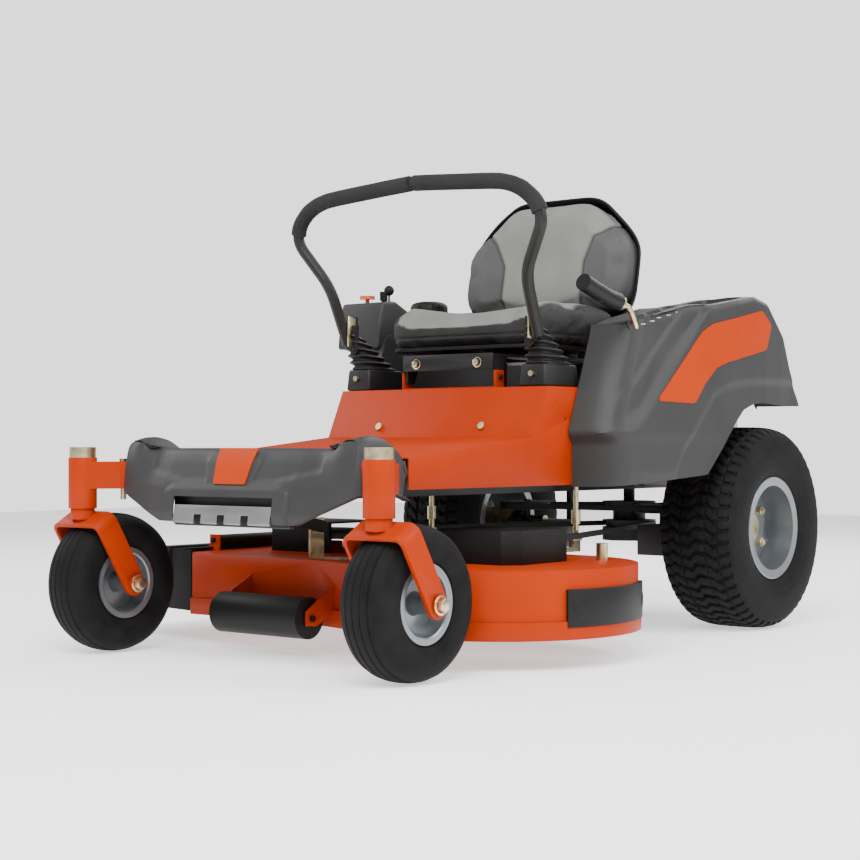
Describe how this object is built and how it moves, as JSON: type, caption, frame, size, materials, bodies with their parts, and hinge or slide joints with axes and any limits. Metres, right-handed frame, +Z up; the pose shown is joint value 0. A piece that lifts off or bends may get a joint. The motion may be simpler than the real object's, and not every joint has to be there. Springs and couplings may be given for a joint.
{
  "type": "zero turn mower",
  "caption": "Rear-engined zero turn riding mower with lap bar steering, front casters and a side-discharge deck hung under its frame.",
  "frame": {"origin": "centre of the machine's footprint, on the ground", "axes": "+X to the operator's left, +Y to the rear of the machine, +Z up"},
  "size_m": [1.2051, 1.8986, 0.9957],
  "materials": {
    "orange_paint": "gloss powder coat",
    "black_paint": "satin powder coat",
    "shade_plastic": "fine moulded grain",
    "black_plastic": "moulded",
    "toe_alloy": "brushed",
    "zinc_plate": "yellow zinc plate",
    "rim_paint": "silver gloss",
    "tyre": "matte",
    "belt_rubber": "matte",
    "boot_rubber": "satin",
    "foam": "fine foam",
    "blade_steel": "ground",
    "engine_alloy": "as cast",
    "gear_iron": "painted",
    "seat_vinyl": "grained vinyl",
    "knob_red": "gloss"
  },
  "bodies": {
    "chassis": {"frame": "black_paint", "front_axle_beam": "orange_paint", "foot_pan": "shade_plastic", "toe_step_plate": "toe_alloy", "front_body_panel": "orange_paint", "left_fender": "shade_plastic", "right_fender": "shade_plastic", "fuel_tank": "black_plastic", "battery": "black_plastic", "engine_block": "engine_alloy", "engine_shroud": "black_plastic", "transaxles": "gear_iron", "rear_guard": "black_paint", "left_boot": "boot_rubber", "right_boot": "boot_rubber", "chassis_fasteners": "zinc_plate", "drive_belt": "belt_rubber"},
    "left_caster": {"left_caster_fork": "orange_paint"},
    "right_caster": {"right_caster_fork": "orange_paint"},
    "left_front_wheel": {"left_front_rim": "rim_paint", "left_front_tyre": "tyre"},
    "right_front_wheel": {"right_front_rim": "rim_paint", "right_front_tyre": "tyre"},
    "left_rear_wheel": {"left_rear_tyre": "tyre", "left_rear_rim": "rim_paint", "left_axle_hub": "zinc_plate"},
    "right_rear_wheel": {"right_rear_tyre": "tyre", "right_rear_rim": "rim_paint", "right_axle_hub": "zinc_plate"},
    "left_control": {"left_control_arm": "black_paint"},
    "right_control": {"right_control_arm": "black_paint"},
    "left_bar": {"left_lap_bar": "black_paint", "left_grip": "foam"},
    "right_bar": {"right_lap_bar": "black_paint", "right_grip": "foam"},
    "deck": {"deck_shell": "orange_paint", "belt_covers": "black_plastic", "deck_bumper": "black_plastic", "deck_links": "zinc_plate", "mower_belt": "belt_rubber"},
    "left_cutter": {"left_spindle": "gear_iron", "left_blade": "blade_steel"},
    "right_cutter": {"right_spindle": "gear_iron", "right_blade": "blade_steel"},
    "chute": {"discharge_chute": "black_plastic"},
    "roller": {"nose_roller": "black_plastic"},
    "lever": {"lift_lever": "zinc_plate"},
    "shaft": {"lift_shaft": "black_paint"},
    "link": {"front_link": "black_paint"},
    "seat_plate": {"seat_base": "black_paint"},
    "seat": {"seat_shell": "black_plastic", "seat_cushion": "seat_vinyl", "seat_back": "seat_vinyl"},
    "pto": {"pto_knob": "knob_red"},
    "throttle": {"throttle_lever": "black_plastic"},
    "key": {"ignition_key": "black_plastic"},
    "cap": {"fuel_cap": "black_plastic"},
    "crank": {"crank_pulley": "gear_iron"},
    "left_input": {"left_drive_pulley": "gear_iron"},
    "right_input": {"right_drive_pulley": "gear_iron"}
  },
  "joints": [
    {"name": "left_caster_swivel", "type": "hinge", "parent": "chassis", "child": "left_caster", "pos_m": [0.4413, -0.88645, 0], "axis": [0, 0, 1], "continuous": true},
    {"name": "left_front_wheel_spin", "type": "hinge", "parent": "left_caster", "child": "left_front_wheel", "pos_m": [0.4413, -0.80965, 0.1397], "axis": [1, 0, 0], "continuous": true},
    {"name": "left_rear_wheel_spin", "type": "hinge", "parent": "chassis", "child": "left_rear_wheel", "pos_m": [0.426, 0.40935, 0.2286], "axis": [1, 0, 0], "continuous": true},
    {"name": "left_drive_lever", "type": "hinge", "parent": "chassis", "child": "left_control", "pos_m": [0.0525, -0.16565, 0.47], "axis": [1, 0, 0], "range_deg": [-8, 4]},
    {"name": "left_lap_bar_swing", "type": "hinge", "parent": "left_control", "child": "left_bar", "pos_m": [0.2925, -0.20765, 0.63], "axis": [0, 1, 0], "range_deg": [0, 30]},
    {"name": "right_caster_swivel", "type": "hinge", "parent": "chassis", "child": "right_caster", "pos_m": [-0.3363, -0.88645, 0], "axis": [0, 0, 1], "continuous": true},
    {"name": "right_front_wheel_spin", "type": "hinge", "parent": "right_caster", "child": "right_front_wheel", "pos_m": [-0.3363, -0.80965, 0.1397], "axis": [1, 0, 0], "continuous": true},
    {"name": "right_rear_wheel_spin", "type": "hinge", "parent": "chassis", "child": "right_rear_wheel", "pos_m": [-0.321, 0.40935, 0.2286], "axis": [1, 0, 0], "continuous": true},
    {"name": "right_drive_lever", "type": "hinge", "parent": "chassis", "child": "right_control", "pos_m": [0.0525, -0.16565, 0.47], "axis": [1, 0, 0], "range_deg": [-8, 4]},
    {"name": "right_lap_bar_swing", "type": "hinge", "parent": "right_control", "child": "right_bar", "pos_m": [-0.1875, -0.20765, 0.63], "axis": [0, -1, 0], "range_deg": [0, 30]},
    {"name": "deck_lift", "type": "slide", "parent": "chassis", "child": "deck", "axis": [0, 0, 1], "range_m": [0, 0.064], "deforming": ["mower_belt"]},
    {"name": "lift_lever_pivot", "type": "hinge", "parent": "chassis", "child": "lever", "pos_m": [0.4245, 0.01935, 0.43], "axis": [1, 0, 0], "range_deg": [-37.5, 0]},
    {"name": "lift_shaft_turn", "type": "hinge", "parent": "chassis", "child": "shaft", "pos_m": [0.0525, 0.07935, 0.392], "axis": [1, 0, 0], "range_deg": [-45, 0]},
    {"name": "front_link_pivot", "type": "hinge", "parent": "chassis", "child": "link", "pos_m": [-0.0175, -0.78065, 0.302], "axis": [1, 0, 0], "range_deg": [0, 14.5]},
    {"name": "crank_spin", "type": "hinge", "parent": "chassis", "child": "crank", "pos_m": [0.0525, 0.51935, 0.222], "axis": [0, 0, 1], "continuous": true},
    {"name": "left_blade_spin", "type": "hinge", "parent": "deck", "child": "left_cutter", "pos_m": [0.3145, -0.38065, 0.071], "axis": [0, 0, 1], "continuous": true},
    {"name": "right_blade_spin", "type": "hinge", "parent": "deck", "child": "right_cutter", "pos_m": [-0.2095, -0.30265, 0.071], "axis": [0, 0, 1], "continuous": true},
    {"name": "left_input_spin", "type": "hinge", "parent": "chassis", "child": "left_input", "pos_m": [0.2485, 0.35935, 0.268], "axis": [0, 0, 1], "continuous": true},
    {"name": "right_input_spin", "type": "hinge", "parent": "chassis", "child": "right_input", "pos_m": [-0.1435, 0.35935, 0.268], "axis": [0, 0, 1], "continuous": true},
    {"name": "chute_hinge", "type": "hinge", "parent": "deck", "child": "chute", "pos_m": [-0.3875, -0.37065, 0.208], "axis": [0, 1, 0], "range_deg": [0, 75], "stiffness_Nm_per_rad": 0.6},
    {"name": "roller_spin", "type": "hinge", "parent": "deck", "child": "roller", "pos_m": [-0.0445, -0.66565, 0.079], "axis": [1, 0, 0], "continuous": true},
    {"name": "seat_tilt", "type": "hinge", "parent": "chassis", "child": "seat_plate", "pos_m": [0.0525, -0.18865, 0.561], "axis": [1, 0, 0], "range_deg": [0, 22]},
    {"name": "seat_slide", "type": "slide", "parent": "seat_plate", "child": "seat", "axis": [0, 1, 0], "range_m": [0, 0.05]},
    {"name": "pto_pull", "type": "slide", "parent": "chassis", "child": "pto", "axis": [0, 0, 1], "range_m": [0, 0.012]},
    {"name": "throttle_pivot", "type": "hinge", "parent": "chassis", "child": "throttle", "pos_m": [-0.2585, -0.03365, 0.738], "axis": [1, 0, 0], "range_deg": [-18, 18]},
    {"name": "key_turn", "type": "hinge", "parent": "chassis", "child": "key", "pos_m": [-0.2885, -0.01765, 0.752], "axis": [0, 0, 1], "range_deg": [-90, 0]},
    {"name": "fuel_cap_turn", "type": "hinge", "parent": "chassis", "child": "cap", "pos_m": [-0.3095, 0.17935, 0.738], "axis": [0, 0, 1], "range_deg": [-90, 0]}
  ],
  "couplings": [
    {"joint": "lift_lever_pivot", "follows": "deck_lift", "rad_per_m": -10.089},
    {"joint": "lift_shaft_turn", "follows": "deck_lift", "rad_per_m": -11.453},
    {"joint": "front_link_pivot", "follows": "deck_lift", "rad_per_m": 3.8722},
    {"joint": "left_blade_spin", "follows": "crank_spin", "ratio": 0.8857},
    {"joint": "right_blade_spin", "follows": "crank_spin", "ratio": 0.8857},
    {"joint": "left_input_spin", "follows": "crank_spin", "ratio": 1},
    {"joint": "right_input_spin", "follows": "crank_spin", "ratio": 1}
  ]
}
